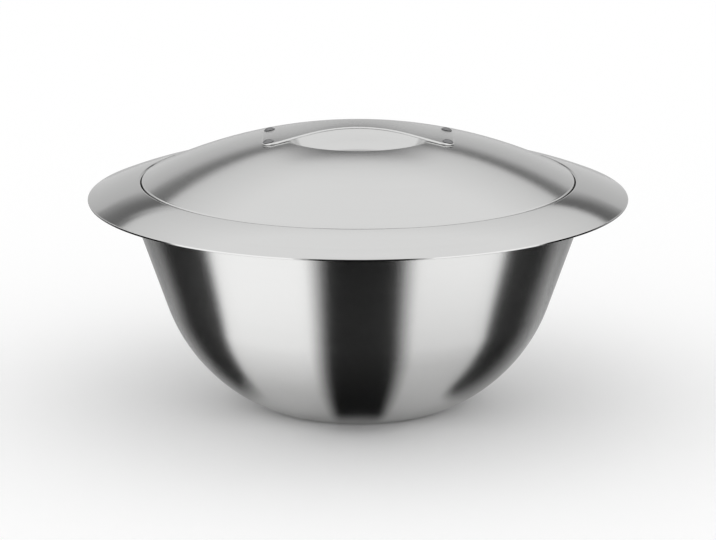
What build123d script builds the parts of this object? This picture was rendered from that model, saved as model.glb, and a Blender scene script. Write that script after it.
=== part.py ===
from build123d import *
import os
from math import asin, cos, degrees, radians, sin, sqrt, tan

# Insulated serving bowl with a lid. Millimetres and degrees, +Z up, origin at the centre of the foot's
# standing plane. The bowl is two pressed steel walls with a fill between them, and the inner one carries the
# wide brim. The double-walled lid drops into a step in the brim and is lifted by a strap over a finger well.

# Sheet thicknesses
SHELL_SHEET = 0.8
LINER_SHEET = 0.8
DOME_SHEET = 0.8
PAN_SHEET = 0.7
STRAP_SHEET = 1.0
DISC_SHEET = 1.0

# Brim: a ring that droops from the lid's seam to a hemmed edge
BRIM_D = 300.0
BRIM_WIDTH = 29.5
BRIM_EDGE_Z = 116.8
BRIM_INNER_SLOPE = 12.0
BRIM_OUTER_SLOPE = 24.5
HEM_WIDTH = 5.0
HEM_SHEET = 0.9
HEM_ROUND = 0.6
HEM_END_ROUND = 0.2

# Step in the brim that the lid drops into
SEAM_BEND_R = 1.2
LEDGE_DEPTH = 4.0
LEDGE_WIDTH = 7.5
LEDGE_INNER_R = 1.6
LEDGE_OUTER_R = 1.0

# Food liner below the ledge
LINER_LEAN = 15.0
FLOOR_Z = 11.0
FLOOR_FLAT_D = 43.5

# Outer shell: recessed base, flat foot, flared curve, straight wall, flange under the brim
SHELL_OUTSET = 6.96
SHELL_LEAN = 19.2
FOOT_D = 107.5
FOOT_FLARE = 24.0
FOOT_ROUND = 5.0
RECESS_D = 86.0
RECESS_DEPTH = 3.0
RECESS_SLOPE = 45.0
RECESS_BEND_R = 1.5
FLANGE_WIDTH = 9.0
FLANGE_BEND_R = 1.5

# Fill plug in the middle of the base
PLUG_D = 12.0
PLUG_HEAD_D = 18.0
PLUG_HEAD_T = 2.5

# Lid: dome with a finger well, inner pan and seal
DOME_R = 273.0
DOME_EDGE_R = 1.4
SKIRT_LENGTH = 3.0
WELL_D = 80.0
WELL_DEPTH = 15.5
WELL_WALL_SLOPE = 62.0
WELL_RIM_R = 4.5
WELL_FLOOR_R = 9.0
PAN_DEPTH = 10.5
PAN_CORNER_R = 6.0
PAN_FLANGE_R = 1.5
SEAL_T = 1.2
SEAL_WIDTH = 4.0
SEAL_ROUND = 0.4

# Handle: arched strap, wider at its ends, and its rivets
HANDLE_RISE = 2.6
STRAP_KICK = 2.5
STRAP_KICK_R = 60.0
STRAP_WAIST = 22.0
STRAP_END_WIDTH = 46.0
STRAP_FLARE = 20.4
STRAP_CORNER_R = 6.0
PAD_START = 1.0
PAD_LENGTH = 12.0
RIVET_INSET = 8.2
RIVET_SPACING = 32.0
RIVET_D = 4.0
RIVET_HEAD_D = 6.4
RIVET_HEAD_H = 1.3
RIVET_TAIL_D = 6.0
RIVET_TAIL_H = 1.0
WASHER_D = 9.0
WASHER_T = 0.8

# Clearances
JOINT_GAP = 0.1
HOLE_GAP = 0.15
FILL_GAP = 0.3
POCKET_GAP = 0.5
LID_GAP = 0.3
SEAM_GAP = 0.5
MOUTH_GAP = 1.3
STUB = 0.3

RIGHT_ANGLE = 90.0


class Crown:
    """Circular arc of a section, convex upwards, given by its centre and radius."""

    def __init__(self, centre_r, centre_z, radius):
        self.centre_r = centre_r
        self.centre_z = centre_z
        self.radius = radius

    def slope_at(self, r):
        """Angle by which the arc falls at a radius from the axis, in radians."""
        return asin((r - self.centre_r) / self.radius)

    def height_at(self, r):
        return self.centre_z + self.radius * cos(self.slope_at(r))

    def tangent_at(self, r, touch_r):
        """Point, at one radius, on the line that touches the arc at another."""
        return r, self.height_at(touch_r) - (r - touch_r) * tan(self.slope_at(touch_r))

    def corner(self, inner_r, outer_r):
        """Point where the lines that touch the arc at two radii cross."""
        inner = self.slope_at(inner_r)
        outer = self.slope_at(outer_r)
        reach = self.radius / cos((outer - inner) / 2)
        middle = (inner + outer) / 2
        return self.centre_r + reach * sin(middle), self.centre_z + reach * cos(middle)


def bend_reach(radius, turn):
    """Length that a bend takes from each of the two runs it joins, for a turn in degrees."""
    return radius * tan(radians(turn) / 2)


def left_of(start, end):
    """Unit vector square to a run of a section path, on its left."""
    return (Vector(end) - Vector(start)).normalized().rotate(Axis.Z, 90)


def parallel(path, distance):
    """A section path moved sideways: to the left of its direction where the distance is positive."""
    points, bends = path
    normals = [left_of(start, end) for start, end in zip(points, points[1:])]
    moved = [Vector(points[0]) + normals[0] * distance]
    radii = []
    for corner, before, after, bend in zip(points[1:-1], normals, normals[1:], bends):
        moved.append(Vector(corner) + (before + after) * (distance / (1 + before.dot(after))))
        turns_left = before.cross(after).Z > 0
        radii.append(bend - distance if turns_left else bend + distance)
    moved.append(Vector(points[-1]) + normals[-1] * distance)
    return moved, radii


def turned(near, far):
    """Round solid between two section paths in radius and height, closed by a line at each end."""
    near_line = FilletPolyline(*near[0], radius=near[1])
    far_line = FilletPolyline(*far[0], radius=far[1])
    ends = [Line(near_line @ place, far_line @ place) for place in (0, 1)]
    section = make_face([*near_line.edges(), *far_line.edges(), *ends])
    return revolve(Plane.XZ * section, Axis.Z)


def sheet(path, thickness):
    """Round pressed sheet: a section path and its parallel copy, turned about the axis."""
    return turned(path, parallel(path, thickness))


def disc(radius, bottom, top):
    return extrude(Plane.XY.offset(bottom) * Circle(radius), top - bottom)


# Brim crown, from the hemmed edge up to the seam
brim_r = BRIM_D / 2
seam_r = brim_r - BRIM_WIDTH
brim_radius = (brim_r - seam_r) / (sin(radians(BRIM_OUTER_SLOPE)) - sin(radians(BRIM_INNER_SLOPE)))
brim = Crown(
    brim_r - brim_radius * sin(radians(BRIM_OUTER_SLOPE)),
    BRIM_EDGE_Z - brim_radius * cos(radians(BRIM_OUTER_SLOPE)),
    brim_radius,
)
seam_z = brim.height_at(seam_r)
ledge_z = seam_z - LEDGE_DEPTH
mouth_r = seam_r - LEDGE_WIDTH

# Lid crown, with its edge level with the brim at the seam
lid_r = seam_r - SEAM_GAP
dome = Crown(0, seam_z - sqrt(DOME_R**2 - lid_r**2), DOME_R)
well_r = WELL_D / 2
well_floor_z = dome.height_at(well_r) - WELL_DEPTH
flange_z = ledge_z + LID_GAP + SEAL_T + JOINT_GAP
pan_z = ledge_z - PAN_DEPTH

# Strap places along X, from the well's rim outwards
kick_x = well_r + PAD_START
strap_end_x = kick_x + PAD_LENGTH
rivet_x = kick_x + RIVET_INSET
plug_top_z = RECESS_DEPTH + SHELL_SHEET + PLUG_HEAD_T


def shell_wall_r(z):
    """Outer radius of the shell's straight wall at a height."""
    return seam_r + SHELL_OUTSET + (z - BRIM_EDGE_Z) * tan(radians(SHELL_LEAN))


def liner_wall_r(z):
    """Inner radius of the liner's straight wall at a height."""
    return mouth_r - (ledge_z - z) * tan(radians(LINER_LEAN))


def pan_wall_r(z):
    """Outer radius of the lid's plug at a height, parallel to the liner's wall."""
    return liner_wall_r(z) - MOUTH_GAP / cos(radians(LINER_LEAN))


def shell_path():
    """Outer face of the shell, from the middle of its base to the bend at the foot of its wall."""
    foot_r = FOOT_D / 2
    recess_r = RECESS_D / 2
    recess_run = RECESS_DEPTH / tan(radians(RECESS_SLOPE))
    flare = tan(radians(FOOT_FLARE))
    lean = tan(radians(SHELL_LEAN))
    bend_z = flare * (shell_wall_r(0) - foot_r) / (1 - flare * lean)
    curve_reach = bend_z / sin(radians(FOOT_FLARE)) - bend_reach(FOOT_ROUND, FOOT_FLARE) - STUB
    curve_r = curve_reach / bend_reach(1, RIGHT_ANGLE - SHELL_LEAN - FOOT_FLARE)
    points = [
        (0, RECESS_DEPTH),
        (recess_r - recess_run, RECESS_DEPTH),
        (recess_r, 0),
        (foot_r, 0),
        (shell_wall_r(bend_z), bend_z),
    ]
    return points, [RECESS_BEND_R, RECESS_BEND_R + SHELL_SHEET, FOOT_ROUND, curve_r]


def shell_flange():
    """Corner and end of the flange at the top of the shell, along the underside of the brim."""
    middle_r = shell_wall_r(seam_z) + FLANGE_WIDTH / 2
    slope = brim.slope_at(middle_r)
    middle_z = brim.height_at(middle_r) - (LINER_SHEET + JOINT_GAP + SHELL_SHEET) / cos(slope)
    start_z = middle_z + (middle_r - shell_wall_r(0)) * tan(slope)
    corner_z = start_z / (1 + tan(slope) * tan(radians(SHELL_LEAN)))
    corner_r = shell_wall_r(corner_z)
    end_r = corner_r + FLANGE_WIDTH
    return [(corner_r, corner_z), (end_r, middle_z - (end_r - middle_r) * tan(slope))]


def bowl_outer_shell():
    points, bends = shell_path()
    path = points + shell_flange(), bends + [FLANGE_BEND_R]
    return sheet(path, SHELL_SHEET) - disc(PLUG_D / 2 + HOLE_GAP, 0, plug_top_z)


def liner_path():
    """Inner face of the liner, from the middle of its floor to the bend below its wall."""
    corner_r = liner_wall_r(FLOOR_Z)
    curve_r = (corner_r - FLOOR_FLAT_D / 2) / bend_reach(1, RIGHT_ANGLE - LINER_LEAN)
    return [(0, FLOOR_Z), (corner_r, FLOOR_Z)], [curve_r]


def bowl_inner_liner():
    crown_start_r = seam_r + bend_reach(SEAM_BEND_R, RIGHT_ANGLE + BRIM_INNER_SLOPE) + STUB
    crown_end_r = brim_r - HEM_WIDTH - LINER_SHEET - STUB
    points, bends = liner_path()
    points += [
        (mouth_r, ledge_z),
        (seam_r, ledge_z),
        brim.tangent_at(seam_r, crown_start_r),
        brim.corner(crown_start_r, crown_end_r),
        brim.tangent_at(brim_r, crown_end_r),
    ]
    bends += [LEDGE_INNER_R, LEDGE_OUTER_R, SEAM_BEND_R, brim.radius]
    under_points, under_bends = parallel((points, bends), -LINER_SHEET)
    hem_points, hem_bends = hem(points[-2], points[-1])
    outline = points + hem_points + under_points[-2::-1]
    outline_bends = bends + [HEM_ROUND] + hem_bends + under_bends[::-1]
    section = FilletPolyline(*outline, radius=outline_bends)
    axis_side = Line(section @ 1, section @ 0)
    return revolve(Plane.XZ * make_face([*section.edges(), axis_side]), Axis.Z)


def hem(crown_corner, edge):
    """Corners of the edge that is folded under the brim, from its outer end back to the sheet."""
    path = [crown_corner, edge], []
    inwards = (Vector(crown_corner) - Vector(edge)).normalized() * HEM_WIDTH
    sheet_end = parallel(path, -LINER_SHEET)[0][-1]
    fold_end = parallel(path, -LINER_SHEET - HEM_SHEET)[0][-1]
    corners = [fold_end, fold_end + inwards, sheet_end + inwards]
    return corners, [HEM_ROUND, HEM_END_ROUND, HEM_END_ROUND]


def bowl_insulation():
    shell_points, shell_bends = shell_path()
    liner_points, liner_bends = liner_path()
    body = turned(
        parallel((shell_points + [(shell_wall_r(ledge_z), ledge_z)], shell_bends), SHELL_SHEET + FILL_GAP),
        parallel((liner_points + [(mouth_r, ledge_z)], liner_bends), -LINER_SHEET - FILL_GAP),
    )
    below_ledge = disc(brim_r, 0, ledge_z - LINER_SHEET - FILL_GAP)
    plug_pocket = disc(PLUG_HEAD_D / 2 + POCKET_GAP, 0, plug_top_z + POCKET_GAP)
    return (body & below_ledge) - plug_pocket


def fill_plug():
    sheet_top_z = RECESS_DEPTH + SHELL_SHEET
    return disc(PLUG_D / 2, RECESS_DEPTH, sheet_top_z) + disc(PLUG_HEAD_D / 2, sheet_top_z, plug_top_z)


def base_disc():
    radius = RECESS_D / 2 - RECESS_DEPTH / tan(radians(RECESS_SLOPE)) - RECESS_BEND_R
    top_z = RECESS_DEPTH - JOINT_GAP
    return disc(radius, top_z - DISC_SHEET, top_z)


def dome_path(outer_r):
    """Upper face of the lid, from the middle of the well over its rim and out to a radius."""
    rim_turn = WELL_WALL_SLOPE + degrees(dome.slope_at(well_r))
    edge_turn = RIGHT_ANGLE - degrees(dome.slope_at(outer_r))
    crown_start_r = well_r + bend_reach(WELL_RIM_R, rim_turn) + STUB
    crown_end_r = outer_r - bend_reach(DOME_EDGE_R, edge_turn) - STUB
    rim_r, rim_z = dome.tangent_at(well_r, crown_start_r)
    points = [
        (0, well_floor_z),
        (rim_r - (rim_z - well_floor_z) / tan(radians(WELL_WALL_SLOPE)), well_floor_z),
        (rim_r, rim_z),
        dome.corner(crown_start_r, crown_end_r),
        dome.tangent_at(outer_r, crown_end_r),
    ]
    return points, [WELL_FLOOR_R, WELL_RIM_R, DOME_R]


def lid_outer_dome():
    points, bends = dome_path(lid_r)
    path = points + [(lid_r, seam_z - SKIRT_LENGTH)], bends + [DOME_EDGE_R]
    return sheet(path, -DOME_SHEET) - at_rivets(rivet_hole())


def pan_path():
    """Lower face of the lid's inner pan, from its middle to the corner under its flange."""
    return [(0, pan_z), (pan_wall_r(pan_z), pan_z), (pan_wall_r(flange_z), flange_z)], [PAN_CORNER_R]


def lid_inner_pan():
    points, bends = pan_path()
    edge_r = lid_r - DOME_SHEET - JOINT_GAP
    return sheet((points + [(edge_r, flange_z)], bends + [PAN_FLANGE_R]), PAN_SHEET)


def lid_insulation():
    top = parallel(dome_path(pan_wall_r(flange_z)), -DOME_SHEET - FILL_GAP)
    bottom = parallel(pan_path(), PAN_SHEET + FILL_GAP)
    return turned(bottom, top) - at_rivets(rivet_pocket())


def lid_seal_ring():
    inner_r = mouth_r + LEDGE_INNER_R
    bottom_z = ledge_z + LID_GAP
    top_z = bottom_z + SEAL_T
    body = disc(inner_r + SEAL_WIDTH, bottom_z, top_z) - disc(inner_r, bottom_z, top_z)
    return fillet(body.edges().group_by(Axis.Z)[0], SEAL_ROUND)


def strap_line():
    """Middle line of the strap's underside in X and Z: pad, kick, arch, kick, pad."""
    pad = Crown(0, dome.centre_z, DOME_R + JOINT_GAP)
    pad_start_x = kick_x + bend_reach(STRAP_KICK_R, STRAP_KICK) + STUB
    kick = pad.tangent_at(kick_x, pad_start_x)
    leg_slope = pad.slope_at(pad_start_x) + radians(STRAP_KICK)
    top_z = kick[1] + kick_x * tan(leg_slope)
    crest_z = dome.height_at(0) + HANDLE_RISE
    arch_r = (top_z - crest_z) / (1 / cos(leg_slope) - 1)
    end_x = strap_end_x - STUB
    half = [kick, pad.corner(pad_start_x, end_x), pad.tangent_at(strap_end_x, end_x)]
    mirrored = [(-x, z) for x, z in reversed(half)]
    bends = [pad.radius, STRAP_KICK_R, arch_r, STRAP_KICK_R, pad.radius]
    return Plane.XZ * FilletPolyline(*mirrored, (0, top_z), *half, radius=bends)


def strap_section():
    """Strip across the strap, crowned like the dome, with the middle of its underside at the origin."""
    radius = DOME_R + JOINT_GAP
    half_width = STRAP_END_WIDTH / 2 + STRAP_SHEET
    drop = radius - sqrt(radius**2 - half_width**2)
    under = ThreePointArc((-half_width, -drop), (0, 0), (half_width, -drop))
    over = Pos(0, STRAP_SHEET) * under
    sides = [Line(under @ place, over @ place) for place in (0, 1)]
    return make_face([under, over, *sides])


def strap_outline():
    """Plan of the strap: a waist that flares to two rounded ends."""
    half_width = STRAP_END_WIDTH / 2
    flare = radians(STRAP_FLARE)
    waist_y = half_width - strap_end_x * tan(flare)
    waist_r = (STRAP_WAIST / 2 - waist_y) / (1 / cos(flare) - 1)
    back = [(strap_end_x, half_width), (0, waist_y), (-strap_end_x, half_width)]
    front = [(x, -y) for x, y in reversed(back)]
    bends = [STRAP_CORNER_R, waist_r, STRAP_CORNER_R]
    return make_face(FilletPolyline(*back, *front, radius=bends * 2, close=True))


def handle_strap():
    line = strap_line()
    start = Plane(origin=line @ 0, x_dir=(0, 1, 0), z_dir=line % 0)
    band = sweep(start * strap_section(), path=line)
    outline = extrude(Plane.XY.offset(pan_z) * strap_outline(), DOME_R)
    return (band & outline) - at_rivets(rivet_hole())


def at_rivets(piece):
    """Four copies of a piece made along Z, set square to the dome at the strap's rivets."""
    copies = []
    for side in (-1, 1):
        for row in (-1, 1):
            x = side * rivet_x
            y = row * RIVET_SPACING / 2
            normal = Vector(x, y, sqrt(DOME_R**2 - x**2 - y**2)).normalized()
            seat = Plane(origin=Vector(0, 0, dome.centre_z) + normal * DOME_R, z_dir=normal)
            copies.append(seat * piece)
    return copies


# Heights along a rivet, from the dome's outer face
washer_top = -DOME_SHEET - JOINT_GAP
tail_top = washer_top - WASHER_T - JOINT_GAP
tail_bottom = tail_top - RIVET_TAIL_H
head_bottom = 2 * JOINT_GAP + STRAP_SHEET
head_top = head_bottom + RIVET_HEAD_H


def rivet_hole():
    return disc(RIVET_D / 2 + HOLE_GAP, tail_bottom, head_top)


def rivet_pocket():
    return disc(WASHER_D / 2 + POCKET_GAP, tail_bottom - POCKET_GAP, head_top)


def rivet():
    """Low round head, shank and flat tail."""
    corners = [
        (0, head_top),
        (0, tail_bottom),
        (RIVET_TAIL_D / 2, tail_bottom),
        (RIVET_TAIL_D / 2, tail_top),
        (RIVET_D / 2, tail_top),
        (RIVET_D / 2, head_bottom),
        (RIVET_HEAD_D / 2, head_bottom),
    ]
    side = Polyline(*corners)
    cap_r = (RIVET_HEAD_D**2 / 4 + RIVET_HEAD_H**2) / (2 * RIVET_HEAD_H)
    cap = RadiusArc(side @ 1, side @ 0, -cap_r)
    return revolve(Plane.XZ * make_face([*side.edges(), *cap.edges()]), Axis.Z)


def handle_rivets():
    return Compound(children=at_rivets(rivet()))


def rivet_washers():
    washer = disc(WASHER_D / 2, washer_top - WASHER_T, washer_top) - rivet_hole()
    return Compound(children=at_rivets(washer))


PIECES = [
    bowl_outer_shell,
    bowl_inner_liner,
    bowl_insulation,
    fill_plug,
    base_disc,
    lid_outer_dome,
    lid_inner_pan,
    lid_insulation,
    lid_seal_ring,
    handle_strap,
    handle_rivets,
    rivet_washers,
]

os.makedirs("parts", exist_ok=True)
for piece in PIECES:
    export_step(piece(), f"parts/{piece.__name__}.step")
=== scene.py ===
from bisect import bisect_left
from collections import namedtuple
from math import acos, asin, atan2, ceil, copysign, cos, pi, radians, sin, sqrt, tan

import bpy
from bpy.props import FloatProperty, FloatVectorProperty, PointerProperty
from mathutils import Matrix, Vector


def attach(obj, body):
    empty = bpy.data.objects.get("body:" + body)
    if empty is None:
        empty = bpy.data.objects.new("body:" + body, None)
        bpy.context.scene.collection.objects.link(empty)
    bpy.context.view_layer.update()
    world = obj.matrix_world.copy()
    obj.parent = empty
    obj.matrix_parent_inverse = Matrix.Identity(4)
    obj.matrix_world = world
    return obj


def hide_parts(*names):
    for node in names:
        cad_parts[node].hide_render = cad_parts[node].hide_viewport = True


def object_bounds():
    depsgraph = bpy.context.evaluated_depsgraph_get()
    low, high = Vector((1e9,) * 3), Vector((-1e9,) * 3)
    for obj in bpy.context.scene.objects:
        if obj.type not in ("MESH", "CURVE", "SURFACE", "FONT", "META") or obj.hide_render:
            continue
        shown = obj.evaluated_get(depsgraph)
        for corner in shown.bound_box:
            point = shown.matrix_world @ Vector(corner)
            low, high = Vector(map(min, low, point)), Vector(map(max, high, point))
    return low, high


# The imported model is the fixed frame, in metres. +Z is up, and the bowl stands on the origin.
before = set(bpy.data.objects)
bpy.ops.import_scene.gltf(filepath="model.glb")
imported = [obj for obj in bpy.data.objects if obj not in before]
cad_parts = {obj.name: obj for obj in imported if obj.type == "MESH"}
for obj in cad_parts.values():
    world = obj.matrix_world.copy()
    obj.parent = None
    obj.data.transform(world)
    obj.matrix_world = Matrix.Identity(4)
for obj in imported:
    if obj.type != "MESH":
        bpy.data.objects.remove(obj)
cad_low, cad_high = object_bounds()

bl_info = {
    "name": "Insulated Serving Bowl",
    "version": (1, 0, 0),
    "blender": (4, 5, 0),
    "location": "View3D > Sidebar > Serving Bowl",
    "description": "Dresses an insulated steel serving bowl and its lid in brushed steel",
    "category": "Object",
}

# Fineness of the meshes
TURN_SEGMENTS = 192
RIVET_SEGMENTS = 64
CHORD_ERROR = 0.00002
WIDEST_STEP = radians(12)
MERGE_DIGITS = 7
STRAP_COLUMNS = 15

QUARTER_TURN = pi / 2
BRUSH_LAYER = "brush"


def length(name, description, default):
    """A size in metres."""
    return FloatProperty(name=name, description=description, default=default, unit="LENGTH", precision=5)


def angle(name, description, degrees):
    """An angle, given in degrees and kept in radians."""
    return FloatProperty(name=name, description=description, default=radians(degrees), subtype="ANGLE")


def share(name, description, default):
    """A number from nothing to one."""
    return FloatProperty(
        name=name, description=description, default=default, min=0, max=1, subtype="FACTOR"
    )


def colour(name, description, red, green, blue):
    """A linear colour."""
    return FloatVectorProperty(
        name=name, description=description, default=(red, green, blue), min=0, max=1, subtype="COLOR"
    )


class BowlSizes(bpy.types.PropertyGroup):
    """Sizes of the bowl's two walls, its brim and its base."""

    shell_sheet: length("Shell sheet", "Thickness of the outer wall", 0.0008)
    liner_sheet: length("Liner sheet", "Thickness of the food liner and brim", 0.0008)
    brim_d: length("Brim diameter", "Across the hemmed edge of the brim", 0.300)
    brim_width: length("Brim width", "From the lid's seam out to the hemmed edge", 0.0295)
    brim_edge_z: length("Brim edge height", "Height of the hemmed edge above the table", 0.1168)
    brim_inner_slope: angle("Brim slope at seam", "Fall of the brim beside the lid", 12)
    brim_outer_slope: angle("Brim slope at edge", "Fall of the brim at its edge", 24.5)
    hem_width: length("Hem width", "Width of the edge folded under the brim", 0.005)
    hem_sheet: length("Hem sheet", "Thickness of the fold", 0.0009)
    hem_round: length("Hem rounding", "Rounding of the fold's outer corners", 0.0006)
    seam_bend_r: length("Seam bend", "Bend from the brim down into the step", 0.0012)
    ledge_depth: length("Ledge depth", "Depth of the step that the lid drops into", 0.004)
    ledge_width: length("Ledge width", "Width of the step that the lid rests on", 0.0075)
    ledge_inner_r: length("Ledge inner bend", "Bend from the ledge down into the liner", 0.0016)
    ledge_outer_r: length("Ledge outer bend", "Bend at the foot of the step", 0.001)
    liner_lean: angle("Liner lean", "Lean of the liner's straight wall", 15)
    floor_z: length("Floor height", "Height of the liner's floor", 0.011)
    floor_flat_d: length("Floor flat", "Across the flat middle of the liner's floor", 0.0435)
    shell_outset: length("Shell outset", "From the seam out to the shell's wall at brim height", 0.00696)
    shell_lean: angle("Shell lean", "Lean of the shell's straight wall", 19.2)
    foot_d: length("Foot diameter", "Across the flat foot", 0.1075)
    foot_flare: angle("Foot flare", "Rise of the shell where it leaves the foot", 24)
    foot_round: length("Foot rounding", "Bend at the edge of the foot", 0.005)
    recess_d: length("Recess diameter", "Across the recess in the base", 0.086)
    recess_depth: length("Recess depth", "Depth of the recess in the base", 0.003)
    recess_slope: angle("Recess slope", "Slope of the recess's side", 45)
    recess_bend_r: length("Recess bend", "Bend at the inner edge of the recess", 0.0015)
    flange_width: length("Flange width", "Width of the shell's flange under the brim", 0.009)
    flange_bend_r: length("Flange bend", "Bend from the shell's wall to its flange", 0.0015)
    plug_hole_d: length("Plug hole", "Across the filling hole in the base", 0.0123)
    disc_sheet: length("Base disc sheet", "Thickness of the disc in the base", 0.001)


class LidSizes(bpy.types.PropertyGroup):
    """Sizes of the lid's dome, finger well, inner pan and seal."""

    dome_sheet: length("Dome sheet", "Thickness of the lid's dome", 0.0008)
    pan_sheet: length("Pan sheet", "Thickness of the lid's inner pan", 0.0007)
    dome_r: length("Dome radius", "Radius that the lid is domed to", 0.273)
    dome_edge_r: length("Dome edge bend", "Bend from the dome into its skirt", 0.0014)
    skirt: length("Skirt length", "Depth of the dome's edge below the seam", 0.003)
    well_d: length("Well diameter", "Across the finger well", 0.080)
    well_depth: length("Well depth", "Depth of the finger well below its rim", 0.0155)
    well_slope: angle("Well slope", "Slope of the well's wall", 62)
    well_rim_r: length("Well rim bend", "Bend of the well's rim", 0.0045)
    well_floor_r: length("Well floor bend", "Bend at the well's floor", 0.009)
    pan_depth: length("Pan depth", "Depth of the pan below the ledge", 0.0105)
    pan_corner_r: length("Pan corner bend", "Bend at the edge of the pan's floor", 0.006)
    pan_flange_r: length("Pan flange bend", "Bend from the pan's wall to its flange", 0.0015)
    seal_t: length("Seal thickness", "Thickness of the seal ring", 0.0012)
    seal_width: length("Seal width", "Width of the seal ring", 0.004)
    seal_round: length("Seal rounding", "Rounding of the seal's corners", 0.0004)
    seam_gap: length("Seam gap", "Gap between the lid and the brim", 0.0005)
    mouth_gap: length("Mouth gap", "Gap between the pan and the liner", 0.0013)
    lid_gap: length("Lid gap", "Gap between the seal and the ledge", 0.0003)


class HandleSizes(bpy.types.PropertyGroup):
    """Sizes of the strap over the finger well and of its rivets."""

    strap_sheet: length("Strap sheet", "Thickness of the strap", 0.001)
    strap_edge_r: length("Strap edge rounding", "Rounding of the strap's upper edges", 0.0008)
    rise: length("Rise", "Height of the strap's arch over the dome's crown", 0.0026)
    kick: angle("Kick", "Turn of the strap where it leaves the dome", 2.5)
    kick_r: length("Kick bend", "Bend where the strap leaves the dome", 0.060)
    waist: length("Waist", "Width of the strap at its middle", 0.022)
    end_width: length("End width", "Width of the strap at its ends", 0.046)
    flare: angle("Flare", "Spread of the strap's sides towards its ends", 20.4)
    corner_r: length("Corner rounding", "Rounding of the strap's four corners", 0.006)
    pad_start: length("Pad start", "From the well's rim to the strap's pad", 0.001)
    pad_length: length("Pad length", "Length of the pad that lies on the dome", 0.012)
    rivet_inset: length("Rivet inset", "From the start of the pad to the rivets", 0.0082)
    rivet_spacing: length("Rivet spacing", "Between the two rivets of a pad", 0.032)
    rivet_d: length("Rivet shank", "Across a rivet's shank", 0.004)
    rivet_head_d: length("Rivet head", "Across a rivet's head", 0.0064)
    rivet_head_h: length("Rivet head height", "Height of a rivet's head", 0.0013)
    rivet_tail_d: length("Rivet tail", "Across a rivet's tail", 0.006)
    rivet_tail_h: length("Rivet tail height", "Height of a rivet's tail", 0.001)
    washer_t: length("Washer thickness", "Thickness of the washer under the dome", 0.0008)


class Finishes(bpy.types.PropertyGroup):
    """Colours and polish of the materials."""

    steel: colour("Steel", "Colour of the brushed steel", 0.66, 0.66, 0.655)
    wall_roughness: share("Wall roughness", "Roughness of the bowl's outer wall", 0.25)
    wall_grain: share("Wall grain", "How far the brushing draws the wall's reflections out", 0.8)
    lid_roughness: share("Lid roughness", "Roughness of the lid", 0.17)
    lid_grain: share("Lid grain", "How far the brushing draws the lid's reflections out", 0.5)
    liner_roughness: share("Liner roughness", "Roughness of the brim and the food liner", 0.11)
    liner_grain: share("Liner grain", "How far the brushing draws the brim's reflections out", 0.4)
    # Painted light: the strap is the same steel, coloured lighter so its reflections look brighter
    strap_steel: colour("Strap steel", "Colour of the strap's brushed steel", 0.71, 0.71, 0.705)
    strap_roughness: share("Strap roughness", "Roughness of the strap", 0.2)
    strap_grain: share("Strap grain", "How far the brushing draws the strap's reflections out", 0.15)
    # Painted shade: the rivets' colour is far darker than the steel so their heads show as shaded spots
    rivet_steel: colour("Rivet steel", "Colour of the rivets", 0.24, 0.24, 0.245)
    rivet_roughness: share("Rivet roughness", "Roughness of the rivets", 0.3)
    silicone: colour("Silicone", "Colour of the seal", 0.62, 0.63, 0.62)
    rubber: colour("Rubber", "Colour of the fill plug", 0.05, 0.05, 0.05)
    foam: colour("Foam", "Colour of the insulation", 0.78, 0.70, 0.48)


class StageSettings(bpy.types.PropertyGroup):
    """Floor, studio light and camera."""

    floor_colour: colour("Floor", "Colour of the plain floor", 1, 1, 1)
    floor_radius: length("Floor radius", "Radius of the plain floor", 9)
    studio_colour: colour("Studio", "Colour of the white studio round the bowl", 1, 1, 1)
    flag_distance: length("Flag distance", "Distance of the studio's dark flags", 3.5)
    flag_height: length("Flag height", "Height of the middle of the ring of flags", 0.08)
    camera_distance: length("Camera distance", "From the camera to what it looks at", 2)
    camera_elevation: angle("Camera elevation", "Height of the camera over the horizon", 14.05)
    camera_target_z: length("Camera target", "Height that the camera looks at", 0.0739)
    camera_lens: FloatProperty(name="Lens", description="Focal length", default=180.0, unit="CAMERA")


class ServingBowl(bpy.types.PropertyGroup):
    """All settings of the serving bowl."""

    bowl: PointerProperty(type=BowlSizes, name="Bowl", description="Sizes of the bowl")
    lid: PointerProperty(type=LidSizes, name="Lid", description="Sizes of the lid")
    handle: PointerProperty(type=HandleSizes, name="Handle", description="Sizes of the handle")
    finish: PointerProperty(type=Finishes, name="Finish", description="Colours and polish")
    stage: PointerProperty(type=StageSettings, name="Stage", description="Floor, light and camera")


# Gap between pieces that lie on each other, shortest straight run beside a bend, and roundings of cut edges
JOINT_GAP = 0.0001
STUB = 0.0003
EDGE_ROUND = 0.0003
FINE_ROUND = 0.00015


# Sections. A section is a list of corners, each a place and the radius of the bend there.

Corner = namedtuple("Corner", "place bend")
Sample = namedtuple("Sample", "place normal")


def corner(across, up, bend=0.0):
    return Corner(Vector((across, up)), bend)


def left_of(run):
    """Unit vector square to a run, on its left."""
    return Vector((-run.y, run.x)).normalized()


def bend_reach(radius, turn):
    """Length that a bend takes from each of the two runs that it joins."""
    return radius * tan(turn / 2)


def parallel(section, distance):
    """A section moved sideways: to the left of its direction where the distance is positive."""
    places = [at.place for at in section]
    sides = [left_of(end - start) for start, end in zip(places, places[1:])]
    moved = [Corner(places[0] + sides[0] * distance, 0.0)]
    for at, before, after in zip(section[1:-1], sides, sides[1:]):
        shift = (before + after) * (distance / (1 + before.dot(after)))
        inwards = distance if before.cross(after) > 0 else -distance
        moved.append(Corner(at.place + shift, at.bend - inwards))
    moved.append(Corner(places[-1] + sides[-1] * distance, 0.0))
    return moved


def sheet_section(upper, lower, edge_round=EDGE_ROUND):
    """Section of a pressed sheet: out along its upper face, round its edge and back below."""
    edge = [Corner(upper[-1].place, edge_round), Corner(lower[-1].place, edge_round)]
    return upper[:-1] + edge + lower[-2::-1]


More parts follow.
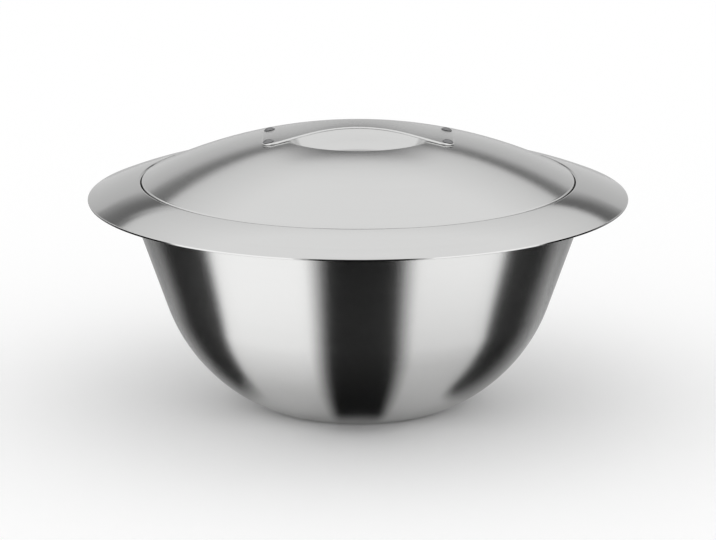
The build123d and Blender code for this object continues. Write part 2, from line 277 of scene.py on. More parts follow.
def bend_samples(at, before, after):
    """Samples round the bend of a corner, between the directions of its two runs."""
    turn = atan2(before.cross(after), before.dot(after))
    finest = 2 * acos(1 - CHORD_ERROR / max(at.bend, CHORD_ERROR))
    steps = max(1, ceil(abs(turn) / min(finest, WIDEST_STEP)))
    side = copysign(at.bend, turn)
    normal = left_of(before)
    centre = at.place - before * bend_reach(at.bend, abs(turn)) + normal * side
    samples = []
    for step in range(steps + 1):
        facing = Matrix.Rotation(turn * step / steps, 2) @ normal
        samples.append(Sample(centre - facing * side, facing))
    return samples


def trace(section, closed=False):
    """Samples along a section, each with its place and the normal on the left."""
    runs = [(end.place - start.place).normalized() for start, end in zip(section, section[1:])]
    if closed:
        runs.append((section[0].place - section[-1].place).normalized())
        samples = []
        for index, at in enumerate(section):
            samples += bend_samples(at, runs[index - 1], runs[index])
        return samples + samples[:1]
    samples = [Sample(section[0].place, left_of(runs[0]))]
    for at, before, after in zip(section[1:-1], runs, runs[1:]):
        samples += bend_samples(at, before, after)
    return samples + [Sample(section[-1].place, left_of(runs[-1]))]


class Crown:
    """Circular arc of a section, convex upwards, given by its centre and radius."""

    def __init__(self, centre_r, centre_z, radius):
        self.centre_r = centre_r
        self.centre_z = centre_z
        self.radius = radius

    def slope_at(self, r):
        """Angle by which the arc falls at a radius from the axis."""
        return asin((r - self.centre_r) / self.radius)

    def height_at(self, r):
        return self.centre_z + self.radius * cos(self.slope_at(r))

    def tangent_at(self, r, touch_r, bend=0.0):
        """Corner, at one radius, on the line that touches the arc at another."""
        fall = (r - touch_r) * tan(self.slope_at(touch_r))
        return corner(r, self.height_at(touch_r) - fall, bend)

    def crossing(self, inner_r, outer_r):
        """Corner where the lines that touch the arc at two radii cross."""
        inner = self.slope_at(inner_r)
        outer = self.slope_at(outer_r)
        reach = self.radius / cos((outer - inner) / 2)
        middle = (inner + outer) / 2
        return corner(self.centre_r + reach * sin(middle), self.centre_z + reach * cos(middle), self.radius)


class Places:
    """Places that several pieces share, worked out from the sizes."""

    def __init__(self, settings):
        bowl = settings.bowl
        lid = settings.lid
        handle = settings.handle
        self.brim_r = bowl.brim_d / 2
        self.seam_r = self.brim_r - bowl.brim_width
        radius = bowl.brim_width / (sin(bowl.brim_outer_slope) - sin(bowl.brim_inner_slope))
        centre_r = self.brim_r - radius * sin(bowl.brim_outer_slope)
        self.brim = Crown(centre_r, bowl.brim_edge_z - radius * cos(bowl.brim_outer_slope), radius)
        self.seam_z = self.brim.height_at(self.seam_r)
        self.ledge_z = self.seam_z - bowl.ledge_depth
        self.mouth_r = self.seam_r - bowl.ledge_width
        self.lid_r = self.seam_r - lid.seam_gap
        self.dome = Crown(0, self.seam_z - sqrt(lid.dome_r**2 - self.lid_r**2), lid.dome_r)
        self.well_r = lid.well_d / 2
        self.well_floor_z = self.dome.height_at(self.well_r) - lid.well_depth
        self.flange_z = self.ledge_z + lid.lid_gap + lid.seal_t + JOINT_GAP
        self.pan_z = self.ledge_z - lid.pan_depth
        self.kick_x = self.well_r + handle.pad_start
        self.strap_end_x = self.kick_x + handle.pad_length
        self.rivet_x = self.kick_x + handle.rivet_inset


# Meshes. Points that fall on the same place are one vertex, so a grid closes on itself.

Point = namedtuple("Point", "place normal brush")


class Surface:
    """Vertices, normals, faces and brush coordinates of a piece, gathered for its mesh."""

    def __init__(self):
        self.vertices = []
        self.normals = []
        self.faces = []
        self.brush = []
        self.known = {}

    def vertex(self, point):
        key = tuple(round(value, MERGE_DIGITS) for value in point.place)
        if key not in self.known:
            self.known[key] = len(self.vertices)
            self.vertices.append(point.place)
            self.normals.append(point.normal)
        return self.known[key]

    def add_grid(self, rows):
        """Faces between neighbouring rows. They face along (next row - row) x (next column - column)."""
        for row, next_row in zip(rows, rows[1:]):
            for quad in zip(row, next_row, next_row[1:], row[1:]):
                corners = {}
                for point in quad:
                    corners.setdefault(self.vertex(point), point.brush)
                if len(corners) > 2:
                    self.faces.append(list(corners))
                    self.brush += corners.values()

    def add_turned(self, samples, segments=TURN_SEGMENTS, seat=Matrix.Identity(4)):
        """Faces of a section turned about the axis of its seat."""
        rows = []
        travel = 0.0
        last = samples[0].place
        for place, normal in samples:
            travel += (place - last).length
            last = place
            row = []
            for segment in range(segments + 1):
                turn = segment / segments
                around = Vector((cos(2 * pi * turn), sin(2 * pi * turn), 0))
                at = seat @ (around * place.x + Vector((0, 0, place.y)))
                facing = seat.to_3x3() @ (around * normal.x + Vector((0, 0, normal.y)))
                row.append(Point(at, facing, (turn, travel)))
            rows.append(row)
        self.add_grid(rows)

    def piece(self, name, material):
        """The finished object, with its normals and brush layer."""
        mesh = bpy.data.meshes.new(name)
        mesh.from_pydata(self.vertices, [], self.faces)
        layer = mesh.uv_layers.new(name=BRUSH_LAYER)
        layer.data.foreach_set("uv", [value for brush in self.brush for value in brush])
        mesh.shade_smooth()
        mesh.normals_split_custom_set_from_vertices(self.normals)
        if mesh.validate(verbose=False):
            raise RuntimeError(f"the mesh of {name} has faulty faces")
        mesh.materials.append(material)
        piece = bpy.data.objects.new(name, mesh)
        bpy.context.scene.collection.objects.link(piece)
        return piece


def turned_piece(name, section, material, closed=False):
    surface = Surface()
    surface.add_turned(trace(section, closed))
    return surface.piece(name, material)


def stand_for(piece, body, node):
    """Sets a piece in the frame: it rides on a body and stands for a node."""
    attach(piece, body)
    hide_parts(node)


def coat(node, material):
    """Gives a node that keeps its own mesh a better material."""
    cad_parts[node].material_slots[0].material = material


# Materials

# Sockets of a mix node that blends colours, and the range that holds most of a noise
MIX_FACTOR, MIX_LOW, MIX_HIGH = 0, 6, 7
MIX_RESULT = 2
NOISE_LOW, NOISE_HIGH = 0.3, 0.7

# Brushing: lines and streaks to a metre across it, and how fast they change round the axis or along a strap.
# Then the lines' part in the grain, the streaks' shades, how far the grain moves the roughness, the strength
# and depth of its relief, and the turn of the reflections that it draws out.
FINE_LINES = 2600
WIDE_STREAKS = 420
ROUND_CHANGE = 1.2
LENGTHWISE_CHANGE = 30.0
LINE_SHARE = 0.6
STREAK_SHADES = (0.985, 1.01)
GRAIN_WEAR = 0.005
LINE_RELIEF = (0.008, 0.00001)
ACROSS_BRUSHING = 0.25

# Handling marks on the steel: how many to a metre, and how far they move the roughness
MARKS = 22
MARK_WEAR = 0.008


class Finish:
    """A material whose nodes are added one by one."""

    def __init__(self, name):
        self.material = bpy.data.materials.new(name)
        self.material.use_nodes = True
        self.tree = self.material.node_tree
        self.tree.nodes.clear()

    def add(self, kind, sockets, **settings):
        """A new node. A socket takes a value or the output of another node."""
        node = self.tree.nodes.new(kind)
        for setting, value in settings.items():
            setattr(node, setting, value)
        for name, value in sockets.items():
            if isinstance(value, bpy.types.NodeSocket):
                self.tree.links.new(value, node.inputs[name])
            else:
                node.inputs[name].default_value = value
        return node

    def math(self, operation, first, second):
        node = self.add("ShaderNodeMath", {0: first, 1: second}, operation=operation)
        return node.outputs[0]

    def vector(self, operation, sockets):
        return self.add("ShaderNodeVectorMath", sockets, operation=operation).outputs[0]

    def noise(self, vector, scale, detail=2.0, roughness=0.5):
        sockets = {"Vector": vector, "Scale": scale, "Detail": detail, "Roughness": roughness}
        return self.add("ShaderNodeTexNoise", sockets).outputs[0]

    def spread(self, value, low, high):
        """A value from noise, stretched to a range."""
        source = {"Value": value, "From Min": NOISE_LOW, "From Max": NOISE_HIGH}
        return self.add("ShaderNodeMapRange", {**source, "To Min": low, "To Max": high}).outputs[0]

    def tint(self, factor, colour, low, high):
        """A colour that a factor makes darker and lighter."""
        sockets = {MIX_FACTOR: factor, MIX_LOW: shade(colour, low), MIX_HIGH: shade(colour, high)}
        return self.add("ShaderNodeMix", sockets, data_type="RGBA").outputs[MIX_RESULT]

    def bump(self, height, strength, distance):
        sockets = {"Height": height, "Strength": strength, "Distance": distance}
        return self.add("ShaderNodeBump", sockets).outputs[0]

    def close(self, sockets):
        """Ends the material in one shader with these sockets."""
        shader = self.add("ShaderNodeBsdfPrincipled", sockets)
        self.add("ShaderNodeOutputMaterial", {"Surface": shader.outputs[0]})
        return self.material

    def close_mottled(self, grain, colour, shades, roughness, relief, **sockets):
        """Ends the material in a shader whose colour, roughness and relief follow one grain.

        Shades and roughness go from the grain's low end to its high end. Relief is a strength and a depth.
        """
        return self.close(
            {
                "Base Color": self.tint(grain, colour, *shades),
                "Roughness": self.spread(grain, *roughness),
                "Normal": self.bump(grain, *relief),
                **sockets,
            }
        )


def shade(colour, strength):
    """A colour made darker or lighter, with the alpha that a socket takes."""
    return tuple(min(1.0, value * strength) for value in colour) + (1.0,)


def object_places(finish):
    return finish.add("ShaderNodeTexCoord", {}).outputs["Object"]


def brush_places(finish, change, across, lengthwise):
    """Vector that changes slowly along the brushing and fast across it."""
    layer = finish.add("ShaderNodeUVMap", {}, uv_map=BRUSH_LAYER).outputs[0]
    brush = finish.add("ShaderNodeSeparateXYZ", {0: layer})
    across_place = finish.math("MULTIPLY", brush.outputs[1], across)
    if lengthwise:
        along_place = finish.math("MULTIPLY", brush.outputs[0], change)
        return finish.add("ShaderNodeCombineXYZ", {0: along_place, 2: across_place}).outputs[0]
    flat = finish.vector("MULTIPLY", {0: object_places(finish), 1: (1, 1, 0)})
    outwards = finish.vector("NORMALIZE", {0: flat})
    along = finish.vector("SCALE", {0: outwards, "Scale": change})
    up = finish.add("ShaderNodeCombineXYZ", {2: across_place}).outputs[0]
    return finish.vector("ADD", {0: along, 1: up})


def brushed_steel(name, colour, roughness, grain_draw, lengthwise=False):
    """Satin steel with fine lines left by the brushing, wider streaks and faint handling marks."""
    finish = Finish(name)
    change = LENGTHWISE_CHANGE if lengthwise else ROUND_CHANGE
    lines = finish.noise(brush_places(finish, change, FINE_LINES, lengthwise), scale=1, detail=3)
    streaks = finish.noise(brush_places(finish, change / 2, WIDE_STREAKS, lengthwise), scale=1, detail=2)
    marks = finish.noise(object_places(finish), scale=MARKS, detail=4, roughness=0.6)
    fine = finish.spread(lines, 0, LINE_SHARE)
    wide = finish.spread(streaks, 0, 1 - LINE_SHARE)
    brushed = finish.spread(finish.math("ADD", fine, wide), -GRAIN_WEAR, GRAIN_WEAR)
    handled = finish.spread(marks, -MARK_WEAR, MARK_WEAR)
    worn = finish.math("ADD", brushed, handled)
    if lengthwise:
        tangent = finish.add("ShaderNodeTangent", {}, direction_type="UV_MAP", uv_map=BRUSH_LAYER)
    else:
        tangent = finish.add("ShaderNodeTangent", {}, direction_type="RADIAL", axis="Z")
    return finish.close(
        {
            "Base Color": finish.tint(streaks, colour, *STREAK_SHADES),
            "Metallic": 1.0,
            "Roughness": finish.math("ADD", worn, roughness),
            "Anisotropic": grain_draw,
            "Anisotropic Rotation": ACROSS_BRUSHING,
            "Tangent": tangent.outputs[0],
            "Normal": finish.bump(lines, *LINE_RELIEF),
        }
    )


def wall_steel(name, settings):
    return brushed_steel(name, settings.steel, settings.wall_roughness, settings.wall_grain)


def lid_steel(name, settings):
    return brushed_steel(name, settings.steel, settings.lid_roughness, settings.lid_grain)


def liner_steel(name, settings):
    return brushed_steel(name, settings.steel, settings.liner_roughness, settings.liner_grain)


# Brushed steel of the strap in the lighter strap colour, which is painted light
def strap_steel(name, settings):
    steel = settings.strap_steel
    return brushed_steel(name, steel, settings.strap_roughness, settings.strap_grain, lengthwise=True)


def rivet_painted_shade_finish(settings):
    """Steel of the rivets and washers, painted dark as painted shade so the heads show as shaded spots, with
    fine scuffs.
    """
    finish = Finish("rivet_steel")
    scuffs = finish.noise(object_places(finish), scale=900, detail=4, roughness=0.6)
    return finish.close_mottled(
        scuffs,
        settings.rivet_steel,
        shades=(0.92, 1.03),
        roughness=(settings.rivet_roughness - 0.05, settings.rivet_roughness + 0.08),
        relief=(0.1, 0.00003),
        Metallic=1.0,
    )


def silicone_finish(settings):
    """Soft matt seal with a trace of dust, which lets a little light in."""
    finish = Finish("seal_silicone")
    dust = finish.noise(object_places(finish), scale=300, detail=5, roughness=0.6)
    depth = {"Subsurface Weight": 0.15, "Subsurface Scale": 0.001}
    return finish.close_mottled(
        dust,
        settings.silicone,
        shades=(0.9, 1.05),
        roughness=(0.48, 0.62),
        relief=(0.15, 0.00005),
        **depth,
    )


def rubber_finish(settings):
    """Dark moulded rubber of the fill plug."""
    finish = Finish("plug_rubber")
    bloom = finish.noise(object_places(finish), scale=500, detail=5, roughness=0.6)
    return finish.close_mottled(
        bloom, settings.rubber, shades=(0.8, 1.3), roughness=(0.6, 0.8), relief=(0.2, 0.00006)
    )


def foam_finish(settings):
    """Pale foam with small open cells."""
    finish = Finish("foam")
    sockets = {"Vector": object_places(finish), "Scale": 700.0}
    cells = finish.add("ShaderNodeTexVoronoi", sockets).outputs[0]
    return finish.close_mottled(
        cells, settings.foam, shades=(0.75, 1.05), roughness=(0.85, 0.98), relief=(0.4, 0.0006)
    )


# Sections of the bowl


def shell_wall_r(bowl, places, z):
    """Outer radius of the shell's straight wall at a height."""
    return places.seam_r + bowl.shell_outset + (z - bowl.brim_edge_z) * tan(bowl.shell_lean)


def liner_wall_r(bowl, places, z):
    """Inner radius of the liner's straight wall at a height."""
    return places.mouth_r - (places.ledge_z - z) * tan(bowl.liner_lean)


def shell_section(bowl, places):
    """Outer wall, from the hole in its recessed base over the foot and up to the flange."""
    foot_r = bowl.foot_d / 2
    recess_r = bowl.recess_d / 2
    recess_run = bowl.recess_depth / tan(bowl.recess_slope)
    flare = tan(bowl.foot_flare)
    bend_z = flare * (shell_wall_r(bowl, places, 0) - foot_r) / (1 - flare * tan(bowl.shell_lean))
    reach = bend_z / sin(bowl.foot_flare) - bend_reach(bowl.foot_round, bowl.foot_flare) - STUB
    curve_r = reach / bend_reach(1, QUARTER_TURN - bowl.shell_lean - bowl.foot_flare)
    middle_r = shell_wall_r(bowl, places, places.seam_z) + bowl.flange_width / 2
    slope = places.brim.slope_at(middle_r)
    drop = (bowl.liner_sheet + JOINT_GAP + bowl.shell_sheet) / cos(slope)
    middle_z = places.brim.height_at(middle_r) - drop
    start_z = middle_z + (middle_r - shell_wall_r(bowl, places, 0)) * tan(slope)
    flange_z = start_z / (1 + tan(slope) * tan(bowl.shell_lean))
    flange_r = shell_wall_r(bowl, places, flange_z)
    end_r = flange_r + bowl.flange_width
    outer = [
        corner(bowl.plug_hole_d / 2, bowl.recess_depth, EDGE_ROUND),
        corner(recess_r - recess_run, bowl.recess_depth, bowl.recess_bend_r),
        corner(recess_r, 0, bowl.recess_bend_r + bowl.shell_sheet),
        corner(foot_r, 0, bowl.foot_round),
        corner(shell_wall_r(bowl, places, bend_z), bend_z, curve_r),
        corner(flange_r, flange_z, bowl.flange_bend_r),
        corner(end_r, middle_z - (end_r - middle_r) * tan(slope)),
    ]
    inner = parallel(outer, bowl.shell_sheet)
    inner[0] = Corner(inner[0].place, EDGE_ROUND)
    return sheet_section(inner, outer)


def liner_section(bowl, places):
    """Food liner, ledge, drooping brim and the hem folded under its edge, in one sheet."""
    crown_start_r = places.seam_r + STUB
    crown_start_r += bend_reach(bowl.seam_bend_r, QUARTER_TURN + bowl.brim_inner_slope)
    crown_end_r = places.brim_r - bowl.hem_width - bowl.liner_sheet - STUB
    floor_r = liner_wall_r(bowl, places, bowl.floor_z)
    curve_r = (floor_r - bowl.floor_flat_d / 2) / bend_reach(1, QUARTER_TURN - bowl.liner_lean)
    upper = [
        corner(0, bowl.floor_z),
        corner(floor_r, bowl.floor_z, curve_r),
        corner(places.mouth_r, places.ledge_z, bowl.ledge_inner_r),
        corner(places.seam_r, places.ledge_z, bowl.ledge_outer_r),
        places.brim.tangent_at(places.seam_r, crown_start_r, bowl.seam_bend_r),
        places.brim.crossing(crown_start_r, crown_end_r),
        places.brim.tangent_at(places.brim_r, crown_end_r, bowl.hem_round),
    ]
    lower = parallel(upper, -bowl.liner_sheet)
    fold = parallel(upper, -bowl.liner_sheet - bowl.hem_sheet)
    inwards = (upper[-2].place - upper[-1].place).normalized() * bowl.hem_width
    hem = [
        Corner(fold[-1].place, bowl.hem_round),
        Corner(fold[-1].place + inwards, FINE_ROUND),
        Corner(lower[-1].place + inwards, FINE_ROUND),
    ]
    return upper + hem + lower[-2::-1]


def base_plate_section(bowl):
    """Flat disc in the recess of the base."""
    radius = bowl.recess_d / 2 - bowl.recess_depth / tan(bowl.recess_slope) - bowl.recess_bend_r
    top_z = bowl.recess_depth - JOINT_GAP
    upper = [corner(0, top_z), corner(radius, top_z)]
    return sheet_section(upper, parallel(upper, -bowl.disc_sheet))


# Sections of the lid


def dome_section(lid, places):
    """Domed cover, from the middle of the finger well over its rim and out to the skirt."""
    dome = places.dome
    rim_turn = lid.well_slope + dome.slope_at(places.well_r)
    edge_turn = QUARTER_TURN - dome.slope_at(places.lid_r)
    crown_start_r = places.well_r + bend_reach(lid.well_rim_r, rim_turn) + STUB
    crown_end_r = places.lid_r - bend_reach(lid.dome_edge_r, edge_turn) - STUB
    rim = dome.tangent_at(places.well_r, crown_start_r, lid.well_rim_r)
    foot_r = rim.place.x - (rim.place.y - places.well_floor_z) / tan(lid.well_slope)
    upper = [
        corner(0, places.well_floor_z),
        corner(foot_r, places.well_floor_z, lid.well_floor_r),
        rim,
        dome.crossing(crown_start_r, crown_end_r),
        dome.tangent_at(places.lid_r, crown_end_r, lid.dome_edge_r),
        corner(places.lid_r, places.seam_z - lid.skirt),
    ]
    return sheet_section(upper, parallel(upper, -lid.dome_sheet))


def pan_section(bowl, lid, places):
    """Inner pan of the lid, which plugs into the mouth of the bowl."""

    def wall_r(z):
        return liner_wall_r(bowl, places, z) - lid.mouth_gap / cos(bowl.liner_lean)

    lower = [
        corner(0, places.pan_z),
        corner(wall_r(places.pan_z), places.pan_z, lid.pan_corner_r),
        corner(wall_r(places.flange_z), places.flange_z, lid.pan_flange_r),
        corner(places.lid_r - lid.dome_sheet - JOINT_GAP, places.flange_z),
    ]
    return sheet_section(parallel(lower, lid.pan_sheet), lower)


def seal_section(bowl, lid, places):
    """Flat ring under the lid's flange."""
    inner_r = places.mouth_r + bowl.ledge_inner_r
    outer_r = inner_r + lid.seal_width
    bottom_z = places.ledge_z + lid.lid_gap
    top_z = bottom_z + lid.seal_t
    ring = [(inner_r, top_z), (outer_r, top_z), (outer_r, bottom_z), (inner_r, bottom_z)]
    return [corner(r, z, lid.seal_round) for r, z in ring]


# Handle

FRONT_TO_BACK = Vector((1, -1))


def strap_line(handle, places):
    """Middle line of the strap's underside, from one end to the other: pad, kick, arch, kick, pad."""
    pad = Crown(0, places.dome.centre_z, places.dome.radius + JOINT_GAP)
    pad_start_x = places.kick_x + bend_reach(handle.kick_r, handle.kick) + STUB
    leg_slope = pad.slope_at(pad_start_x) + handle.kick
    kick = pad.tangent_at(places.kick_x, pad_start_x, handle.kick_r)
    top_z = kick.place.y + places.kick_x * tan(leg_slope)
    crest_z = places.dome.height_at(0) + handle.rise
    arch_r = (top_z - crest_z) / (1 / cos(leg_slope) - 1)
    end_x = places.strap_end_x - STUB
    half = [kick, pad.crossing(pad_start_x, end_x), pad.tangent_at(places.strap_end_x, end_x)]
    mirrored = [corner(-at.place.x, at.place.y, at.bend) for at in reversed(half)]
    return trace(mirrored + [corner(0, top_z, arch_r)] + half)


def strap_side(handle, places):
    """Plan of the strap's front side, from right end to left end, set in by the edge rounding."""
    half_width = handle.end_width / 2
    waist_y = half_width - places.strap_end_x * tan(handle.flare)
    waist_r = (handle.waist / 2 - waist_y) / (1 / cos(handle.flare) - 1)
    right = [corner(places.strap_end_x, 0), corner(places.strap_end_x, -half_width, handle.corner_r)]
    left = [corner(-at.place.x, at.place.y, at.bend) for at in reversed(right)]
    return trace(parallel(right + [corner(0, -waist_y, waist_r)] + left, -handle.strap_edge_r))[1:-1]


class StrapForm:
    """Where the points of the strap lie: its arch lengthwise, and the dome's crown across it."""

    def __init__(self, handle, places):
        self.line = strap_line(handle, places)
        self.stations = [sample.place.x for sample in self.line]
        self.crown_r = places.dome.radius + JOINT_GAP

    def point(self, plan, facing, height, lift):
        """Point over a place in plan. The normal leans out along the facing and up by the lift."""
        at = min(max(bisect_left(self.stations, plan.x), 1), len(self.line) - 1)
        start, end = self.line[at - 1], self.line[at]
        part = (plan.x - start.place.x) / (end.place.x - start.place.x)
        middle = start.place.lerp(end.place, part)
        normal = start.normal.lerp(end.normal, part).normalized()
        up = Vector((normal.x, 0, normal.y))
        along = Vector((normal.y, 0, -normal.x))
        tilt = asin(plan.y / self.crown_r)
        drop = self.crown_r * (1 - cos(tilt))
        across = Vector((0, cos(tilt), 0)) - up * sin(tilt)
        raised = up * cos(tilt) + Vector((0, sin(tilt), 0))
        place = Vector((middle.x, plan.y, middle.y)) + up * (height - drop)
        outwards = along * facing.x + across * facing.y
        return Point(place, (outwards * cos(lift) + raised * sin(lift)).normalized(), (plan.x, plan.y))


def strap_surface(handle, places):
    """Two faces of the strap and the rounded band round its outline."""
    form = StrapForm(handle, places)
    front = strap_side(handle, places)
    sheet = handle.strap_sheet
    edge_r = handle.strap_edge_r
    shares = [1 - 2 * column / (STRAP_COLUMNS - 1) for column in range(STRAP_COLUMNS)]
    rows = [[Vector((side.place.x, -side.place.y * part)) for part in shares] for side in front]
    level = Vector((0, 0))
    surface = Surface()
    surface.add_grid([[form.point(plan, level, sheet, QUARTER_TURN) for plan in row] for row in rows])
    surface.add_grid([[form.point(plan, level, 0, -QUARTER_TURN) for plan in row[::-1]] for row in rows])

    edge = [corner(0, sheet), corner(edge_r, sheet, edge_r), corner(edge_r, 0, FINE_ROUND), corner(0, 0)]
    profile = trace(edge)
    back = [Sample(place * FRONT_TO_BACK, normal * FRONT_TO_BACK) for place, normal in reversed(front)]
    left_end = [Sample(plan, Vector((-1, 0))) for plan in rows[-1][-2:0:-1]]
    right_end = [Sample(plan, Vector((1, 0))) for plan in rows[0][1:-1]]
    outline = front + left_end + back + right_end
    band = []
    for plan, facing in outline + outline[:1]:
        row = []
        for step in profile:
            lift = atan2(step.normal.y, step.normal.x)
            row.append(form.point(plan + facing * step.place.x, facing, step.place.y, lift))
        band.append(row)
    surface.add_grid(band)
    return surface


def rivet_section(handle, lid):
    """Low round head, shank and flat tail. Heights are from the dome's outer face."""
    head_z = 2 * JOINT_GAP + handle.strap_sheet
    tail_z = -lid.dome_sheet - handle.washer_t - 2 * JOINT_GAP
    head_r = handle.rivet_head_d / 2
    tail_r = handle.rivet_tail_d / 2
    shank_r = handle.rivet_d / 2
    cap_r = (head_r**2 + handle.rivet_head_h**2) / (2 * handle.rivet_head_h)
    cap_reach = bend_reach(cap_r, asin(head_r / cap_r))
    top_z = head_z + handle.rivet_head_h
    return [
        corner(0, top_z),
        corner(cap_reach, top_z, cap_r * (1 - FINE_ROUND / cap_reach)),
        corner(head_r, head_z, FINE_ROUND / 2),
        corner(shank_r, head_z, FINE_ROUND),
        corner(shank_r, tail_z, FINE_ROUND),
        corner(tail_r, tail_z, FINE_ROUND),
        corner(tail_r, tail_z - handle.rivet_tail_h, FINE_ROUND),
        corner(0, tail_z - handle.rivet_tail_h),
    ]


def rivet_seats(handle, places):
    """Places of the four rivets, square to the dome."""
    seats = []
    for side in (-1, 1):
        for row in (-1, 1):
            x = side * places.rivet_x
            y = row * handle.rivet_spacing / 2
            normal = Vector((x, y, sqrt(places.dome.radius**2 - x**2 - y**2))).normalized()
            seat = Vector((0, 0, places.dome.centre_z)) + normal * places.dome.radius
            seats.append(Matrix.Translation(seat) @ normal.to_track_quat("Z", "Y").to_matrix().to_4x4())
    return seats


# Stage

# Flags of the white studio, which only polished surfaces show. Azimuths go from the camera's side to the
# right, in degrees. A flag reaches from start to end, and soft is the width of its fading sides. Low and
# high are elevations, and the tone changes from one to the other. Lean is how fast the flag climbs to the
# right and the left of the back. A later flag hangs in front of an earlier one.
SkyFlag = namedtuple("SkyFlag", "name start end soft low high lean tone high_tone")
SKY_FLAGS = [
    SkyFlag("front_flag", -25, 25, 10, 0, 22, (0, 0), 0.3, 0.65),
    SkyFlag("left_flag", -140, -90, 10, 0, 8, (0, 0), 0.02, 0.02),
    SkyFlag("right_flag", 90, 132, 10, 0, 8, (0, 0), 0.02, 0.02),
    SkyFlag("back_wall", 130, 230, 10, -1.5, 16.5, (0.05, 0.25), 0.68, 0.57),
    SkyFlag("back_fall", 130, 230, 10, 16.5, 21, (0.05, 0.25), 0.57, 0.16),
    SkyFlag("back_strip", 130, 230, 10, 21, 24.5, (0.05, 0.25), 0.16, 0.1),
    SkyFlag("back_glow", 120, 240, 16, 24.5, 46, (0.05, 0.25), 0.74, 1.0),
    SkyFlag("left_end", 191, 235, 14, 17, 26.4, (0.05, 0.25), 0.3, 0.1),
    SkyFlag("right_end", 125, 167, 14, 17, 25.5, (0.05, 0.25), 0.3, 0.06),
    SkyFlag("back_bar", 170.5, 190, 7, 22, 34.8, (0, 0), 0.0, 0.0),
]

# Sectors of the table that the bowl's wall mirrors darker or brighter, the uppermost last. Each opens from a
# corner, in metres. It starts at the radius near, and its tone is full after the fade.
TableFlag = namedtuple("TableFlag", "name corner start end soft_start soft_end near fade tone")
TABLE_FLAGS = [
    TableFlag("left_light", (0, 0), -100, 0, 6, 6, 0.090, 0.09, 1.32),
    TableFlag("right_light", (0, 0), 0, 100, 6, 6, 0.124, 0.09, 1.28),
    TableFlag("back_table", (0, 0), 116, 244, 12, 12, 0.075, 0.05, 0.55),
    TableFlag("left_table", (-0.054, -0.052), -167, -77.5, 45, 7, 0, 0.03, 0.006),
    TableFlag("right_table", (0.050, -0.0605), 77, 163, 5, 48, 0, 0.015, 0.0),
    TableFlag("front_table", (0, -0.03), -27, 28.5, 10, 10, 0.028, 0.01, 0.0),
]

# In metres: gap between sky flags, then the table flags' height, lift of each over the last and outer radius
SKY_FLAG_GAP = 0.02
TABLE_FLAG_Z = 0.0006
TABLE_FLAG_LIFT = 0.0001
TABLE_FLAG_END = 3.0

# In degrees: azimuth of the back, how far beside it flags start to lean, a grid's widest step and once round
BACK = 180
LEAN_START = 10
FLAG_STEP = 3
FULL_CIRCLE = 360

# Camera sensor in millimetres
SENSOR_WIDTH = 36

FLOOR_ROUGHNESS = 0.9


def glow(name, tone, high_tone):
    """Tone of a studio flag. Its brush layer holds how far it covers, and how high a place is on it."""
    finish = Finish(name)
    layer = finish.add("ShaderNodeUVMap", {}, uv_map=BRUSH_LAYER).outputs[0]
    place = finish.add("ShaderNodeSeparateXYZ", {0: layer})
    sockets = {"Value": place.outputs[1], "To Min": tone, "To Max": high_tone}
    strength = finish.add("ShaderNodeMapRange", sockets).outputs[0]
    light = finish.add("ShaderNodeEmission", {"Strength": strength})
    clear = finish.add("ShaderNodeBsdfTransparent", {})
    mix = finish.add("ShaderNodeMixShader", {0: place.outputs[0], 1: clear.outputs[0], 2: light.outputs[0]})
    finish.add("ShaderNodeOutputMaterial", {"Surface": mix.outputs[0]})
    return finish.material


def stage_grid(name, rows, material):
    """A piece of the stage from rows of places, each with its brush values."""
    surface = Surface()
    upright = Vector((0, 0, 1))
    surface.add_grid([[Point(place, upright, brush) for place, brush in row] for row in rows])
    piece = surface.piece(name, material)
    return piece


def heading(azimuth):
    """Level direction at an azimuth in degrees, from the camera's side to the right."""
    return Vector((sin(radians(azimuth)), -cos(radians(azimuth)), 0))


def steps_between(start, end):
    """Even steps of at most FLAG_STEP degrees."""
    count = max(1, ceil((end - start) / FLAG_STEP))
    return [start + (end - start) * step / count for step in range(count + 1)]


def mirrored_only(piece):
    """Shows a flag in polished surfaces, and nowhere else."""
    for ray in ("camera", "diffuse", "shadow", "transmission", "volume_scatter"):
        setattr(piece, f"visible_{ray}", False)


def cover(azimuth, start, end, soft_start, soft_end):
    """How far a flag with fading sides covers at an azimuth."""
    return max(0, min(1, (azimuth - start) / soft_start, (end - azimuth) / soft_end))


def leaning(elevation, azimuth, lean):
    """Elevation on a flag that climbs to both sides of the back, and is level below the horizon."""
    if elevation < 0:
        return elevation
    right_lean, left_lean = lean
    away = max(0, abs(azimuth - BACK) - LEAN_START)
    return elevation + away * (right_lean if azimuth < BACK else left_lean)


def sky_flag(flag, distance, stage):
    """A flag on a sphere round the bowl."""
    rows = []
    for elevation in steps_between(flag.low, flag.high):
        height = (elevation - flag.low) / (flag.high - flag.low)
        row = []
        for azimuth in steps_between(flag.start, flag.end):
            covered = cover(azimuth, flag.start, flag.end, flag.soft, flag.soft)
            climb = radians(leaning(elevation, azimuth, flag.lean))
            place = heading(azimuth) * cos(climb) * distance
            place.z += stage.flag_height + sin(climb) * distance
            row.append((place, (covered, height)))
        rows.append(row)
    return stage_grid(flag.name, rows, glow(flag.name, flag.tone, flag.high_tone))


def table_flag(flag, z):
    """A flag that lies just over the floor."""
    middle = Vector((*flag.corner, z))
    rows = []
    for radius, part in ((flag.near, 0), (flag.near + flag.fade, 1), (TABLE_FLAG_END, 1)):
        row = []
        for azimuth in steps_between(flag.start, flag.end):
            covered = part * cover(azimuth, flag.start, flag.end, flag.soft_start, flag.soft_end)
            row.append((middle + heading(azimuth) * radius, (covered, 0)))
        rows.append(row)
    return stage_grid(flag.name, rows, glow(flag.name, flag.tone, flag.tone))


